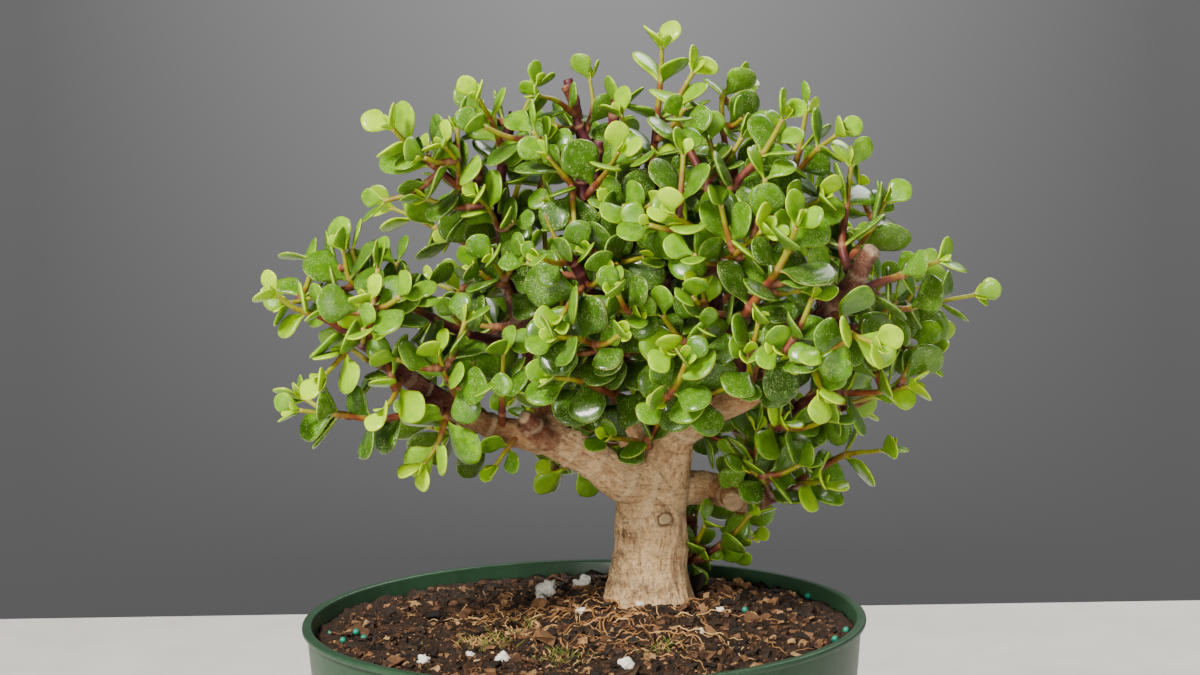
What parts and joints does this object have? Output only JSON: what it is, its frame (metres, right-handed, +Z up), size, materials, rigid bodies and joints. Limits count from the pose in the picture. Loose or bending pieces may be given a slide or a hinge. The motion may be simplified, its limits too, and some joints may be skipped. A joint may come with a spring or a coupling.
{
  "type": "dwarf jade bonsai in a nursery pot",
  "caption": "Small succulent tree with a thick tan trunk, spreading limbs and a rounded crown of fleshy oval leaves, rooted in soil in a round green plastic pot.",
  "frame": {"origin": "middle of the pot's flat base, on the surface that it stands on", "axes": "+Z up along the pot's axis; the picture looks along +Y with +X to its right; the trunk stands 24 mm to +X and 20 mm to +Y of the pot's axis"},
  "size_m": [0.2587, 0.2373, 0.3528],
  "materials": {
    "pot": "satin moulded plastic, dark green",
    "soil": "dark potting mix of bark and peat, rough and crumbly",
    "bark": "tan bark, finely wrinkled, turning purple-brown on the thinner limbs",
    "foliage": "fleshy green leaves with a waxy sheen on maroon and olive stems"
  },
  "bodies": {
    "root": {"pot": "pot", "soil": "soil", "trunk_and_limbs": "bark", "spray_apex": "foliage", "spray_front_top": "foliage", "spray_brown_top": "foliage", "spray_back_twig": "foliage", "spray_upper_left_top": "foliage", "spray_upper_left_far": "foliage", "spray_rear_left_up": "foliage", "spray_riser_front_high": "foliage", "spray_riser_front_low": "foliage", "spray_riser_right": "foliage", "spray_left_main": "foliage", "spray_left_tip": "foliage", "spray_left_under": "foliage", "spray_low_left_twig": "foliage", "spray_left_hang": "foliage", "spray_left_mid_up": "foliage", "spray_left_mid_high": "foliage", "spray_left_drop": "foliage", "spray_left_behind": "foliage", "spray_high_stub": "foliage", "spray_mid_trio": "foliage", "spray_middle_stub": "foliage", "spray_centre_long": "foliage", "spray_centre_low": "foliage", "spray_centre_under": "foliage", "spray_trunk_front": "foliage", "spray_front_mid": "foliage", "spray_front_left_up": "foliage", "spray_front_right": "foliage", "spray_foreground": "foliage", "spray_front_small": "foliage", "spray_front_low": "foliage", "spray_mid_right_hang": "foliage", "spray_right_up": "foliage", "spray_right_far": "foliage", "spray_right_rear": "foliage", "spray_right_front_low": "foliage", "spray_riser_top": "foliage", "spray_riser_low": "foliage", "spray_leader_right": "foliage", "spray_leader_left": "foliage", "spray_shelf": "foliage", "spray_low_end": "foliage", "spray_trunk_low": "foliage", "spray_rear_left_end": "foliage", "spray_rear_left_low": "foliage", "spray_rear_left_back": "foliage", "spray_rear_left_under": "foliage", "spray_rear_right_end": "foliage", "spray_rear_right_low": "foliage", "spray_rear_right_back": "foliage", "spray_rear_right_under": "foliage", "spray_rear_mid": "foliage", "spray_rear_top": "foliage", "spray_riser_back": "foliage", "spray_left_back": "foliage"}
  },
  "joints": []
}
